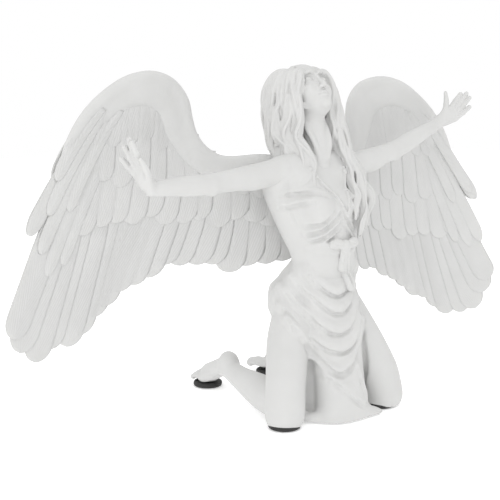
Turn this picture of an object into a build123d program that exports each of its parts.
from build123d import *
import math
import os

# Kneeling angel figurine, cast resin, in millimetres.
# +Z is up and the figure looks along -Y, so +X is the figure's own left side.
# The origin is on the ground under the middle of the whole object.
# Stations and points are written as (x, back from the knee line, height).

os.makedirs("parts", exist_ok=True)

# ---------------------------------------------------------------- ground and legs
KNEE_LINE_Y = -52.0        # y of the line through both knee pads
KNEE_HALF_SPACING = 39.0   # each knee pad from the middle plane
TOE_SETBACK = 104.0        # toe pads behind the knee line
TOE_HALF_SPACING = 27.0    # each toe pad from the middle plane
PAD_DIAMETER = 20.0
PAD_THICKNESS = 3.5
PAD_RECESS = 0.5           # how far each pad sinks into the casting
DRAPE_GROUND_GAP = 1.0     # front drape hem above the ground
CALF_RADIUS = 10.5
ANKLE_RADIUS = 6.6
ANKLE_SETBACK = 70.0       # ankle behind the knee line
ANKLE_HEIGHT = 20.0
HEEL_HEIGHT = 27.0
FOOT_HALF_WIDTH = 8.6
TOE_TIP_SETBACK = 122.5
RIGHT_THIGH_RADIUS = 13.0
LEFT_THIGH_RADIUS = 17.5

# ---------------------------------------------------------------- torso
HIP_HEIGHT = 75.0
HIP_SETBACK = 25.0
HIP_HALF_WIDTH = 30.0
HIP_HALF_DEPTH = 21.0
WAIST_HEIGHT = 99.0
WAIST_SETBACK = 14.0
WAIST_HALF_WIDTH = 21.0
WAIST_HALF_DEPTH = 15.5
BUST_HEIGHT = 135.0
BUST_SETBACK = 16.0
BUST_HALF_WIDTH = 24.0
BUST_HALF_DEPTH = 17.0
SHOULDER_HEIGHT = 157.0
SHOULDER_SETBACK = 21.0
SHOULDER_HALF_WIDTH = 27.0
SHOULDER_HALF_DEPTH = 10.5
NECK_BASE_RISE = 6.0       # neck base above the shoulder line
NECK_RADIUS = 8.0

# ---------------------------------------------------------------- head and hair
HEAD_CENTRE_SETBACK = 31.0
HEAD_CENTRE_RISE = 45.0    # head centre above the shoulder line
HEAD_HALF_LENGTH = 21.5    # chin to crown, half
HEAD_HALF_WIDTH = 15.0
HEAD_HALF_DEPTH = 17.5
HEAD_TILT_BACK = 40.0      # degrees, face lifted towards the sky
HAIR_DROP_RIGHT = 52.0     # right fall below the head centre
HAIR_DROP_LEFT = 100.0     # left fall below the head centre

# ---------------------------------------------------------------- arms
UPPER_ARM_RADIUS = 8.0
ELBOW_RADIUS = 6.2
WRIST_RADIUS = 4.2
RIGHT_ELBOW_REACH = 53.0   # outwards from the shoulder joint
RIGHT_ELBOW_RISE = -8.0
RIGHT_ELBOW_FORWARD = 6.0
RIGHT_FOREARM_REACH = 42.0
RIGHT_FOREARM_RISE = -1.0
RIGHT_FOREARM_FORWARD = 5.0
LEFT_ELBOW_REACH = 48.0
LEFT_ELBOW_RISE = 7.0
LEFT_ELBOW_FORWARD = -6.0
LEFT_FOREARM_REACH = 47.0
LEFT_FOREARM_RISE = 17.0
LEFT_FOREARM_FORWARD = -7.0
FINGER_RADIUS = 1.9
PALM_HALF_WIDTH = 7.0
PALM_HALF_THICKNESS = 3.6

# ---------------------------------------------------------------- wings
WING_CURVE_RADIUS = 203.5  # the wing sheets bow back on this radius
WING_CURVE_X = 108.2       # its centre, outwards
FLIGHT_THICKNESS = 3.0     # long feathers
COVERT_STEP = 1.3          # each covert row stands this much prouder
WING_ARM_RADIUS = 6.2      # rounded leading edge near the wrist
WING_ARM_TIP_RADIUS = 2.6
WING_TOP = 213.5           # highest point of both wings
WING_SPAN_HALF = 196.0     # outermost feather from the middle plane
RIGHT_TIP_HEIGHT = 54.0    # lowest long feather of the right wing
LEFT_TIP_HEIGHT = 34.0     # lowest long feather of the left wing
ROOT_HALF_SPACING = 15.0   # wing root boss from the middle plane
ROOT_SETBACK = 37.5        # front of the wing sheet at the root
ROOT_HALF_WIDTH = 8.5
ROOT_DEPTH = 14.0          # boss, front to back
ROOT_BEHIND = 4.0          # boss behind the front of the sheet
ROOT_JOINT_AHEAD = 6.5     # where the pins cross into the torso, ahead of the sheet
ROOT_LOWER = 122.0         # lower pin height
ROOT_UPPER = 147.0         # upper pin height
ROOT_BOSS_MARGIN = 9.0     # boss past the pin centres

# ---------------------------------------------------------------- sash
KNOT_HEIGHT = 108.0
KNOT_RADIUS = 4.6
KNOT_OFFSET = 3.5          # the knot sits this far towards the figure's left
BOW_LOOP_REACH = 11.0
RIBBON_DROP = 27.0
RIBBON_LEAN_RIGHT = 9.0    # each ribbon end sideways from the knot
RIBBON_LEAN_LEFT = 3.0

# ---------------------------------------------------------------- pins
PIN_DIAMETER = 3.0
PIN_GLUE_GAP = 0.1         # radial and end gap round every pin
PIN_EMBED = 9.0            # pin length in each of the two castings

BALL_SWELL = 1.06          # a rounded limb end over the limb itself


def knee_based(x, setback, z):
    return (x, KNEE_LINE_Y + setback, z)


def unit(vector):
    length = math.sqrt(sum(c * c for c in vector))
    return tuple(c / length for c in vector)


def minus(a, b):
    return tuple(p - q for p, q in zip(a, b))


def blend(a, b, t):
    return tuple(p + (q - p) * t for p, q in zip(a, b))


def limb(points, radii, ball_start=False, ball_end=False):
    """Smooth limb through points; a radius may be a pair (sideways, other way)."""
    count = len(points)
    sections = []
    for index, point in enumerate(points):
        before = points[max(index - 1, 0)]
        after = points[min(index + 1, count - 1)]
        along = unit(minus(after, before))
        side = (1, 0, 0) if abs(along[0]) < 0.75 else (0, 1, 0)
        plane = Plane(origin=point, x_dir=side_across(along, side), z_dir=along)
        radius = radii[index]
        outline = Ellipse(*radius) if isinstance(radius, tuple) else Circle(radius)
        sections.append(plane * outline)
    solid = loft(sections)
    if ball_start:
        solid = solid + Pos(*points[0]) * Sphere(radii[0] * BALL_SWELL)
    if ball_end:
        solid = solid + Pos(*points[-1]) * Sphere(radii[-1] * BALL_SWELL)
    return solid


def side_across(along, side):
    share = sum(a * b for a, b in zip(along, side))
    return unit(tuple(s - share * a for s, a in zip(side, along)))


def stack(rows):
    """Loft of level ellipses; a row is (x, setback, z, half width, half depth)."""
    sections = []
    for x, setback, z, half_width, half_depth in rows:
        plane = Plane(origin=knee_based(x, setback, z))
        sections.append(plane * Ellipse(half_width, half_depth))
    return loft(sections)


def ball(centre, half_x, half_y, half_z, tilt=0.0):
    solid = scale(Sphere(1.0), by=(half_x, half_y, half_z))
    return Pos(*centre) * Rot(tilt, 0, 0) * solid


def largest(shape):
    solids = shape.solids()
    return max(solids, key=lambda s: s.volume)


def cylinder_between(start, end, radius):
    along = minus(end, start)
    length = math.sqrt(sum(c * c for c in along))
    plane = Plane(origin=start, z_dir=unit(along))
    return extrude(plane * Circle(radius), amount=length)


def pin_and_hole(seat, direction):
    """A steel pin centred on the seat point and the hole that takes it in both castings."""
    along = unit(direction)
    start = tuple(s - PIN_EMBED * a for s, a in zip(seat, along))
    end = tuple(s + PIN_EMBED * a for s, a in zip(seat, along))
    reach = PIN_EMBED + PIN_GLUE_GAP
    deep_start = tuple(s - reach * a for s, a in zip(seat, along))
    deep_end = tuple(s + reach * a for s, a in zip(seat, along))
    pin = cylinder_between(start, end, PIN_DIAMETER / 2)
    hole = cylinder_between(deep_start, deep_end, PIN_DIAMETER / 2 + PIN_GLUE_GAP)
    return pin, hole


# ================================================================ pads
casting_floor = PAD_THICKNESS - PAD_RECESS
pad_places = {
    "right_knee_pad": (-KNEE_HALF_SPACING, 0.0),
    "left_knee_pad": (KNEE_HALF_SPACING, 0.0),
    "right_toe_pad": (-TOE_HALF_SPACING, TOE_SETBACK),
    "left_toe_pad": (TOE_HALF_SPACING, TOE_SETBACK),
}
pads = {}
for name, (x, setback) in pad_places.items():
    disc = Pos(x, KNEE_LINE_Y + setback, PAD_THICKNESS / 2)
    disc = disc * Cylinder(PAD_DIAMETER / 2, PAD_THICKNESS)
    pads[name] = fillet(disc.edges().group_by(Axis.Z)[-1], 0.3)

# ================================================================ gown with torso
neck_base = SHOULDER_HEIGHT + NECK_BASE_RISE
torso = stack([
    (0, HIP_SETBACK + 1, HIP_HEIGHT - 17, HIP_HALF_WIDTH - 5, HIP_HALF_DEPTH - 5),
    (0, HIP_SETBACK, HIP_HEIGHT - 4, HIP_HALF_WIDTH, HIP_HALF_DEPTH),
    (0, (HIP_SETBACK + WAIST_SETBACK) / 2, (HIP_HEIGHT + WAIST_HEIGHT) / 2 + 1,
     (HIP_HALF_WIDTH + WAIST_HALF_WIDTH) / 2, (HIP_HALF_DEPTH + WAIST_HALF_DEPTH) / 2),
    (0, WAIST_SETBACK, WAIST_HEIGHT, WAIST_HALF_WIDTH, WAIST_HALF_DEPTH),
    (0, (BUST_SETBACK + WAIST_SETBACK) / 2, (BUST_HEIGHT + WAIST_HEIGHT) / 2,
     WAIST_HALF_WIDTH, WAIST_HALF_DEPTH),
    (0, BUST_SETBACK, BUST_HEIGHT, BUST_HALF_WIDTH, BUST_HALF_DEPTH),
    (0, (BUST_SETBACK + SHOULDER_SETBACK) / 2 + 1, (BUST_HEIGHT + SHOULDER_HEIGHT) / 2 + 2,
     SHOULDER_HALF_WIDTH - 1, (BUST_HALF_DEPTH + SHOULDER_HALF_DEPTH) / 2),
    (0, SHOULDER_SETBACK, SHOULDER_HEIGHT, SHOULDER_HALF_WIDTH - 3, SHOULDER_HALF_DEPTH),
    (0, SHOULDER_SETBACK - 1, neck_base, NECK_RADIUS + 3, NECK_RADIUS + 0.5),
])


def knee_point(side):
    return knee_based(side * KNEE_HALF_SPACING, 0, casting_floor + RIGHT_THIGH_RADIUS * 0.75)


def thigh(side, radius, outwards):
    knee = knee_point(side)
    hip = knee_based(side * (HIP_HALF_WIDTH - 13), HIP_SETBACK - 1, HIP_HEIGHT - 4)
    middle = blend(hip, knee, 0.5)
    middle = (middle[0] + side * outwards, middle[1], middle[2])
    upper = limb([hip, middle, knee], [radius + 2, radius, radius - 1])
    foot_x = side * KNEE_HALF_SPACING
    hem = stack([
        (foot_x, 0, casting_floor, radius + 1.0, max(radius, PAD_DIAMETER / 2 + 2) + 1.0),
        (foot_x, 1, casting_floor + 12, radius - 0.5, radius + 0.5),
    ])
    return upper + hem


drape_middle = 6.0
front_drape = stack([
    (drape_middle + 2, -3, DRAPE_GROUND_GAP, 27, 14.5),
    (drape_middle, -2, DRAPE_GROUND_GAP + 18, 22, 14),
    (drape_middle - 2, 3, HIP_HEIGHT - 27, 21, 14.5),
    (0, 11, HIP_HEIGHT + 3, 21, 13),
    (0, WAIST_SETBACK, WAIST_HEIGHT - 2, WAIST_HALF_WIDTH - 2, WAIST_HALF_DEPTH - 1),
])
drape_tail = stack([
    (30, -3, DRAPE_GROUND_GAP, 13, 9),
    (30, -1, DRAPE_GROUND_GAP + 16, 9, 8),
    (29, 4, DRAPE_GROUND_GAP + 36, 5, 6),
])


def hanging_fold(half_width, top, sag, front, thickness, lean):
    """One cowl fold of the skirt: a soft roll hanging in a U from hip to hip."""
    ends = [
        knee_based(4 - half_width, front + 21, top + 2),
        knee_based(-half_width * 0.55, front + 5, top - sag * 0.62),
        knee_based(lean, front, top - sag),
        knee_based(half_width * 0.62 + lean, front + 5, top - sag * 0.55),
        knee_based(half_width - 4 + lean * 0.5, front + 22, top + 3),
    ]
    return limb(ends, [thickness * 0.6, thickness, thickness * 1.1, thickness, thickness * 0.6])


gown_body = torso + thigh(-1, RIGHT_THIGH_RADIUS, 0.0) + thigh(1, LEFT_THIGH_RADIUS, 3.0)
gown_body = gown_body + front_drape + drape_tail
for half_width, top, sag, front in ((20, 96, 17, -1.5), (23, 88, 26, -5.5), (24, 80, 36, -8)):
    gown_body = gown_body + hanging_fold(half_width, top, sag, front, 3.0, 3.0)
for side in (-1, 1):
    strap = limb([knee_based(side * 17, BUST_SETBACK - 7, BUST_HEIGHT + 1),
                  knee_based(side * 20, SHOULDER_SETBACK - 9, SHOULDER_HEIGHT - 9),
                  knee_based(side * 20.5, SHOULDER_SETBACK, SHOULDER_HEIGHT - 1.5),
                  knee_based(side * 18, SHOULDER_SETBACK + 5, SHOULDER_HEIGHT - 12)],
                 [3.6, 4.2, 4.0, 3.4])
    gown_body = gown_body + strap
underside = Pos(0, 0, -50 + DRAPE_GROUND_GAP) * Box(400, 400, 100)
gown_body = gown_body - underside
gown_body = largest(gown_body)

# ================================================================ lower legs


def lower_leg(side):
    x_knee = side * (KNEE_HALF_SPACING - 2)
    x_ankle = side * (TOE_HALF_SPACING + 4)
    x_toe = side * TOE_HALF_SPACING
    calf_floor = casting_floor + CALF_RADIUS
    calf = limb([knee_based(x_knee, 4, calf_floor),
                 knee_based(x_knee + (x_ankle - x_knee) * 0.25, 22, calf_floor),
                 knee_based(x_knee + (x_ankle - x_knee) * 0.58, 40, calf_floor + 1.5),
                 knee_based(x_ankle, ANKLE_SETBACK, ANKLE_HEIGHT)],
                [CALF_RADIUS - 1, CALF_RADIUS, CALF_RADIUS - 0.7, ANKLE_RADIUS])
    sole = casting_floor
    foot = limb([knee_based(x_ankle, ANKLE_SETBACK + 3, HEEL_HEIGHT - 4),
                 knee_based((x_ankle + x_toe) / 2, ANKLE_SETBACK + 16, 20),
                 knee_based(x_toe, TOE_SETBACK - 6, sole + 8.5),
                 knee_based(x_toe, TOE_SETBACK + 7, sole + 5.0)],
                [(6.2, 7.0), (6.8, 6.5), (FOOT_HALF_WIDTH, 5.6), (FOOT_HALF_WIDTH, 4.2)])
    leg = calf + foot + ball(knee_based(x_ankle, ANKLE_SETBACK + 1, HEEL_HEIGHT - 3), 5.6, 6.4, 6)
    for index in range(5):
        across = FOOT_HALF_WIDTH - 2.4 - index * (FOOT_HALF_WIDTH - 2.0) * 2 / 4.6
        radius = 2.6 if index == 0 else 2.0
        length = TOE_TIP_SETBACK - radius - abs(index - 0.6) * 1.6
        toe_x = x_toe - side * across
        leg = leg + limb([knee_based(toe_x, TOE_SETBACK + 3, sole + 4.6),
                          knee_based(toe_x, length - 5, sole + radius + 1.4),
                          knee_based(toe_x, length, sole + radius * 0.75)],
                         [radius] * 3, ball_end=True)
    ball_of_foot = Pos(x_toe, KNEE_LINE_Y + TOE_SETBACK, sole + 1.5)
    leg = leg + ball_of_foot * Cylinder(FOOT_HALF_WIDTH - 0.4, 7.0)
    leg = leg - Pos(0, 0, -50 + sole) * Box(400, 400, 100)
    return leg


legs = {}
for name, side in (("right_lower_leg", -1), ("left_lower_leg", 1)):
    legs[name] = largest(lower_leg(side) - gown_body)

# ================================================================ head and hair
head_centre = knee_based(0, HEAD_CENTRE_SETBACK, SHOULDER_HEIGHT + HEAD_CENTRE_RISE)
hx, hy, hz = head_centre


def from_head(x, setback, rise):
    return (hx + x, hy + setback, hz + rise)


skull = ball(head_centre, HEAD_HALF_WIDTH, HEAD_HALF_DEPTH, HEAD_HALF_LENGTH, -HEAD_TILT_BACK)
neck = limb([knee_based(0, SHOULDER_SETBACK - 1.5, neck_base - 5),
             knee_based(0, SHOULDER_SETBACK + 1.5, neck_base + 12),
             from_head(0, -2, -9)],
            [NECK_RADIUS + 1.2, NECK_RADIUS - 0.4, NECK_RADIUS + 0.8])
tilt = math.radians(HEAD_TILT_BACK)
face_out = (0, -math.cos(tilt), math.sin(tilt))
chin_down = (0, -math.sin(tilt), -math.cos(tilt))


def on_head(x, out, down):
    return (hx + x, hy + face_out[1] * out + chin_down[1] * down,
            hz + face_out[2] * out + chin_down[2] * down)


nose = limb([on_head(0, HEAD_HALF_DEPTH - 1.4, -1), on_head(0, HEAD_HALF_DEPTH - 0.4, 6)],
            [1.1, 1.8], ball_start=True, ball_end=True)
chin = Pos(*on_head(0, HEAD_HALF_DEPTH - 9.5, HEAD_HALF_LENGTH - 5.0)) * Sphere(5.0)
cap_of_hair = ball(from_head(0, 4.0, 1.2), HEAD_HALF_WIDTH + 2.6, HEAD_HALF_DEPTH + 0.8,
                   HEAD_HALF_LENGTH - 2.6, -HEAD_TILT_BACK)
right_fall = limb([from_head(-6, 9, 3), from_head(-17, 8, -12), from_head(-21, 3, -30),
                   from_head(-19, -6, -HAIR_DROP_RIGHT)], [12.5, 12.0, 10.5, 5.0],
                  ball_end=True)
back_fall = limb([from_head(0, 13, -2), from_head(0, 15, -18), from_head(-3, 9, -38)],
                 [13.0, 12.0, 7.0], ball_end=True)
left_fall = limb([from_head(8, 5, 2), from_head(20, -4, -15), from_head(24, -19, -38),
                  from_head(24, -33, -62), from_head(22.5, -36, -82),
                  from_head(21, -35, -HAIR_DROP_LEFT)], [11.5, 8.5, 7.5, 7.0, 6.0, 3.0],
                 ball_end=True)
face_window = limb([on_head(0, HEAD_HALF_DEPTH - 3, 4), on_head(0, HEAD_HALF_DEPTH + 14, 4)],
                   [(10.0, 13.0), (15.0, 19.0)])
hair = cap_of_hair + right_fall + left_fall + back_fall
hair = hair - face_window
head_and_hair = hair + skull + neck + nose + chin
head_and_hair = largest(head_and_hair - gown_body)

# ================================================================ arms


def arm_points(side, reach, rise, forward, reach2, rise2, forward2):
    shoulder = knee_based(side * (SHOULDER_HALF_WIDTH - 3), SHOULDER_SETBACK + 1,
                          SHOULDER_HEIGHT - 3)
    elbow = (side * (SHOULDER_HALF_WIDTH + reach), shoulder[1] - forward,
             shoulder[2] + rise + 3)
    wrist = (elbow[0] + side * reach2, elbow[1] - forward2, elbow[2] + rise2)
    return shoulder, elbow, wrist


def arm(shoulder, elbow, wrist):
    upper_middle = blend(shoulder, elbow, 0.45)
    fore_middle = blend(elbow, wrist, 0.3)
    solid = limb([shoulder, upper_middle, elbow, fore_middle, wrist],
                 [UPPER_ARM_RADIUS + 1.2, UPPER_ARM_RADIUS - 0.4, ELBOW_RADIUS,
                  ELBOW_RADIUS + 0.2, WRIST_RADIUS], ball_start=True, ball_end=True)
    return solid


def hand(wrist, knuckles, fingers, thumb):
    """Flat palm from wrist to knuckles, fingers as point lists from the knuckles, a thumb."""
    palm_middle = blend(wrist, knuckles, 0.55)
    palm = limb([wrist, palm_middle, knuckles],
                [(WRIST_RADIUS - 0.9, WRIST_RADIUS - 0.5),
                 (PALM_HALF_THICKNESS, PALM_HALF_WIDTH - 0.8),
                 (PALM_HALF_THICKNESS - 0.6, PALM_HALF_WIDTH)])
    solid = palm
    for points in fingers:
        taper = [FINGER_RADIUS + 0.2, FINGER_RADIUS, FINGER_RADIUS - 0.4]
        solid = solid + limb(points, taper, ball_end=True)
    thumb_taper = [FINGER_RADIUS + 0.9, FINGER_RADIUS + 0.4, FINGER_RADIUS - 0.2]
    return solid + limb(thumb, thumb_taper, ball_end=True)


def away(origin, x, y, z):
    return (origin[0] + x, origin[1] + y, origin[2] + z)


right_points = arm_points(-1, RIGHT_ELBOW_REACH, RIGHT_ELBOW_RISE, RIGHT_ELBOW_FORWARD,
                          RIGHT_FOREARM_REACH, RIGHT_FOREARM_RISE, RIGHT_FOREARM_FORWARD)
rw = right_points[2]
right_knuckles = away(rw, -8.5, -0.5, 8.5)
right_fingers = []
for index in range(4):
    spread = index - 1.5
    start = away(right_knuckles, 0.4, spread * 3.6, -0.6)
    middle = away(start, -4.2, spread * 0.9, 6.4 + 0.9 * index)
    tip = away(middle, -0.2, spread * 0.5, 5.2 + 1.0 * index)
    right_fingers.append([start, middle, tip])
right_thumb = [away(rw, -3.5, 5.2, 4), away(rw, -6.2, 9.0, 10.5), away(rw, -8.0, 9.6, 17.0)]
right_arm = arm(*right_points) + hand(rw, right_knuckles, right_fingers, right_thumb)

left_points = arm_points(1, LEFT_ELBOW_REACH, LEFT_ELBOW_RISE, LEFT_ELBOW_FORWARD,
                         LEFT_FOREARM_REACH, LEFT_FOREARM_RISE, LEFT_FOREARM_FORWARD)
lw = left_points[2]
left_knuckles = away(lw, 11.5, -3.0, 8.0)
left_fingers = []
for index in range(4):
    spread = index - 1.5
    start = away(left_knuckles, -0.6, spread * 3.6, -0.4)
    middle = away(start, 5.6, -1.6 + spread * 0.2, 5.0 + 0.5 * index)
    tip = away(middle, 3.6, -1.2, 5.6 - 0.5 * abs(spread))
    left_fingers.append([start, middle, tip])
left_thumb = [away(lw, 4.0, -4.8, 4.5), away(lw, 6.4, -8.6, 12.5), away(lw, 6.6, -9.2, 20.5)]
left_arm = arm(*left_points) + hand(lw, left_knuckles, left_fingers, left_thumb)
right_arm = largest(right_arm - gown_body - head_and_hair)
left_arm = largest(left_arm - gown_body - head_and_hair)

# ================================================================ sash with bow


def gown_front_at(height):
    probe = Pos(0, KNEE_LINE_Y - 100, height) * Box(0.5, 200 + 2 * WAIST_SETBACK, 0.5)
    return (gown_body & probe).bounding_box().min.Y


front = gown_front_at(KNOT_HEIGHT)
knot = ball((KNOT_OFFSET, front - 0.5, KNOT_HEIGHT), KNOT_RADIUS, KNOT_RADIUS * 0.8, KNOT_RADIUS * 1.05)
sash_bow = knot
for side in (-1, 1):
    loop = limb([(KNOT_OFFSET + side * 1.5, front - 1.2, KNOT_HEIGHT + 0.5),
                 (KNOT_OFFSET + side * BOW_LOOP_REACH * 0.55, front - 0.2, KNOT_HEIGHT + 2.4),
                 (KNOT_OFFSET + side * BOW_LOOP_REACH, front + 2.4, KNOT_HEIGHT + 1.0)],
                [(2.0, 2.4), (2.2, 4.2), (1.4, 2.0)])
    low = gown_front_at(KNOT_HEIGHT - RIBBON_DROP + 2)
    lean = RIBBON_LEAN_RIGHT if side < 0 else RIBBON_LEAN_LEFT
    ribbon = limb([(KNOT_OFFSET + side * 0.8, front - 1.0, KNOT_HEIGHT - 1),
                   (KNOT_OFFSET + side * lean * 0.6, (front + low) / 2 - 1.8,
                    KNOT_HEIGHT - RIBBON_DROP / 2),
                   (KNOT_OFFSET + side * lean, low - 0.4, KNOT_HEIGHT - RIBBON_DROP + 2)],
                  [1.8, (2.8, 1.5), (3.2, 1.5)])
    sash_bow = sash_bow + loop + ribbon
sash_bow = largest(sash_bow - gown_body - head_and_hair)

# ================================================================ wings


def blade(start, end, width):
    """One long rounded feather in the wing sheet, from root to rounded tip."""
    run = (end[0] - start[0], end[1] - start[1])
    length = math.hypot(*run)
    angle = math.degrees(math.atan2(run[1], run[0]))
    middle = ((start[0] + end[0]) / 2, (start[1] + end[1]) / 2)
    return Pos(*middle) * Rot(0, 0, angle) * SlotCenterToCenter(max(length - width, 1.0), width)


def fan(roots, tips, count, width_in, width_out):
    """A row of overlapping blades, roots and tips spread evenly along two lines."""
    blades = []
    for index in range(count):
        t = index / (count - 1)
        width = width_in + (width_out - width_in) * t
        blades.append(blade(along_line(roots, t), along_line(tips, t), width))
    return Sketch() + blades


def along_line(points, t):
    lengths = [math.dist(a, b) for a, b in zip(points, points[1:])]
    target = t * sum(lengths)
    for (a, b), length in zip(zip(points, points[1:]), lengths):
        if target <= length + 1e-9:
            return blend(a, b, target / length)
        target -= length
    return points[-1]


root_offset = WING_CURVE_X - ROOT_HALF_SPACING
wing_curve_setback = ROOT_SETBACK - math.sqrt(WING_CURVE_RADIUS ** 2 - root_offset ** 2)


def wing_band(inner, outer):
    """Upright curved sheet between two radii of the wing's bow."""
    centre = (WING_CURVE_X, KNEE_LINE_Y + wing_curve_setback)
    ring = Pos(*centre) * (Circle(outer) - Circle(inner))
    strip = Pos(110, 60) * Rectangle(220, 160)
    return extrude(ring & strip, amount=300)


def sheet(flat, inner, outer):
    """Cut a flat outline, drawn as (outwards, height), out of the curved sheet."""
    raised = Plane.XZ * flat
    block = extrude(raised, amount=200, both=True)
    return block & wing_band(inner, outer)


def bowed(u, z, lift=0.0):
    radius = WING_CURVE_RADIUS + lift
    inside = radius * radius - (u - WING_CURVE_X) ** 2
    return (u, KNEE_LINE_Y + wing_curve_setback + math.sqrt(inside), z)


def wing(trailing):
    """One wing for the +X side; trailing is its lower outline as (outwards, height)."""
    arm_line = [(13, 150), (40, 157), (60, 162), (76, 182), (86, WING_TOP - 12),
                (98, WING_TOP - 8), (116, WING_TOP - 12), (134, WING_TOP - 24),
                (150, WING_TOP - 41), (162, WING_TOP - 62), (173, WING_TOP - 83)]
    long_roots = [(14, 142), (45, 145), (66, 152), (90, 168), (118, 172), (142, 160), (166, 128)]
    flight = fan(long_roots, trailing, 15, 12.0, 13.0)
    inset_trailing = [(u - 3, z + 16) for u, z in reversed(trailing)]
    outline = arm_line + [(WING_SPAN_HALF - 12, WING_TOP - 107)] + inset_trailing
    membrane = make_face(Polyline(*outline, close=True))
    flight = flight + membrane
    solid = sheet(flight, WING_CURVE_RADIUS, WING_CURVE_RADIUS + FLIGHT_THICKNESS)
    greater_tips = [blend(a, b, 0.46) for a, b in zip(
        [along_line(long_roots, i / 10) for i in range(11)],
        [along_line(trailing, i / 10) for i in range(11)])]
    greater = fan([(16, 146), (52, 152), (80, 180), (110, 196), (140, 178), (164, 140)],
                  greater_tips, 15, 12.0, 10.0)
    solid = solid + sheet(greater, WING_CURVE_RADIUS - COVERT_STEP, WING_CURVE_RADIUS + 1)
    lesser_tips = [blend(a, b, 0.2) for a, b in zip(
        [along_line(long_roots, i / 10) for i in range(11)],
        [along_line(trailing, i / 10) for i in range(11)])]
    lesser = fan([(18, 150), (54, 156), (82, 188), (104, 203), (136, 187), (162, 148)],
                 lesser_tips, 15, 10.5, 7.5)
    solid = solid + sheet(lesser, WING_CURVE_RADIUS - 2 * COVERT_STEP, WING_CURVE_RADIUS + 1)
    ridge_radii = []
    for index in range(len(arm_line)):
        t = index / (len(arm_line) - 1)
        ridge_radii.append(WING_ARM_RADIUS + (WING_ARM_TIP_RADIUS - WING_ARM_RADIUS) * t)
    ridge_points = [bowed(u, z, FLIGHT_THICKNESS / 2) for u, z in arm_line]
    solid = solid + limb(ridge_points, ridge_radii, ball_end=True)
    root_middle = bowed(ROOT_HALF_SPACING, (ROOT_LOWER + ROOT_UPPER) / 2)
    height = ROOT_UPPER - ROOT_LOWER + 2 * ROOT_BOSS_MARGIN
    boss_y = root_middle[1] - ROOT_DEPTH / 2 + ROOT_BEHIND
    boss = Pos(root_middle[0], boss_y, root_middle[2])
    boss = boss * Box(2 * ROOT_HALF_WIDTH, ROOT_DEPTH, height)
    boss = fillet(boss.edges().filter_by(Axis.Y), 5.0)
    return solid + boss


right_trailing = [(14, 97), (32, 93), (52, 92), (74, 96), (94, 97), (110, 88), (124, 84),
                  (137, 72), (152, 60), (166, RIGHT_TIP_HEIGHT + 5), (178, RIGHT_TIP_HEIGHT),
                  (188, RIGHT_TIP_HEIGHT + 6), (WING_SPAN_HALF - 1, RIGHT_TIP_HEIGHT + 14)]
left_trailing = [(14, 97), (36, 92), (60, 88), (80, 80), (94, 79), (110, 69), (124, 62),
                 (136, 52), (150, 46), (162, LEFT_TIP_HEIGHT + 3), (172, LEFT_TIP_HEIGHT),
                 (184, LEFT_TIP_HEIGHT + 6), (WING_SPAN_HALF - 4, LEFT_TIP_HEIGHT + 18)]
left_wing = wing(left_trailing)
right_wing = mirror(wing(right_trailing), about=Plane.YZ)
right_wing = largest(right_wing - gown_body - head_and_hair - right_arm)
left_wing = largest(left_wing - gown_body - head_and_hair - left_arm)

# ================================================================ pins and their holes
pins = {}
holes = []
neck_seat = knee_based(0, SHOULDER_SETBACK - 1.2, neck_base)
neck_axis = minus(knee_based(0, SHOULDER_SETBACK + 1.5, neck_base + 12), neck_seat)
pins["neck_pin"], neck_hole = pin_and_hole(neck_seat, neck_axis)
gown_body = gown_body - neck_hole
head_and_hair = head_and_hair - neck_hole

for name, side, points in (("right_shoulder_pin", -1, right_points),
                           ("left_shoulder_pin", 1, left_points)):
    seat = blend(points[0], points[1], 0.06)
    pins[name], hole = pin_and_hole(seat, minus(points[1], points[0]))
    gown_body = gown_body - hole
    head_and_hair = head_and_hair - hole
    if side < 0:
        right_arm = right_arm - hole
    else:
        left_arm = left_arm - hole

for side, word in ((-1, "right"), (1, "left")):
    for level, height in (("lower", ROOT_LOWER), ("upper", ROOT_UPPER)):
        root = bowed(ROOT_HALF_SPACING, height)
        seat = (side * ROOT_HALF_SPACING, root[1] - ROOT_JOINT_AHEAD, height)
        pins[f"{word}_wing_pin_{level}"], hole = pin_and_hole(seat, (0, 1, 0))
        gown_body = gown_body - hole
        if side < 0:
            right_wing = right_wing - hole
        else:
            left_wing = left_wing - hole
    thigh_back = RIGHT_THIGH_RADIUS if side < 0 else LEFT_THIGH_RADIUS
    knee = knee_based(side * (KNEE_HALF_SPACING - 2), thigh_back, casting_floor + CALF_RADIUS)
    pins[f"{word}_knee_pin"], hole = pin_and_hole(knee, (0, 1, 0))
    gown_body = gown_body - hole
    legs[f"{word}_lower_leg"] = legs[f"{word}_lower_leg"] - hole

# ================================================================ pad recesses
for name, pad in pads.items():
    x, setback = pad_places[name]
    pocket = Pos(x, KNEE_LINE_Y + setback, PAD_THICKNESS / 2) * Cylinder(
        PAD_DIAMETER / 2, PAD_THICKNESS)
    pocket = fillet(pocket.edges().group_by(Axis.Z)[-1], 0.3)
    if "knee" in name:
        gown_body = gown_body - pocket
    else:
        leg_name = name.replace("toe_pad", "lower_leg")
        legs[leg_name] = legs[leg_name] - pocket

nodes = {
    "gown_body": gown_body,
    "head_and_hair": head_and_hair,
    "right_arm": right_arm,
    "left_arm": left_arm,
    "right_wing": right_wing,
    "left_wing": left_wing,
    "sash_bow": sash_bow,
}
nodes.update(legs)
nodes.update(pins)
nodes.update(pads)
for name, shape in nodes.items():
    solid = largest(shape)
    solid.label = name
    export_step(solid, f"parts/{name}.step")
    box = solid.bounding_box()
    print(f"{name:24s} {solid.volume:10.0f} mm3  x {box.min.X:7.1f} {box.max.X:7.1f}"
          f"  y {box.min.Y:7.1f} {box.max.Y:7.1f}  z {box.min.Z:6.1f} {box.max.Z:6.1f}"
          f"  solids {len(shape.solids())}")
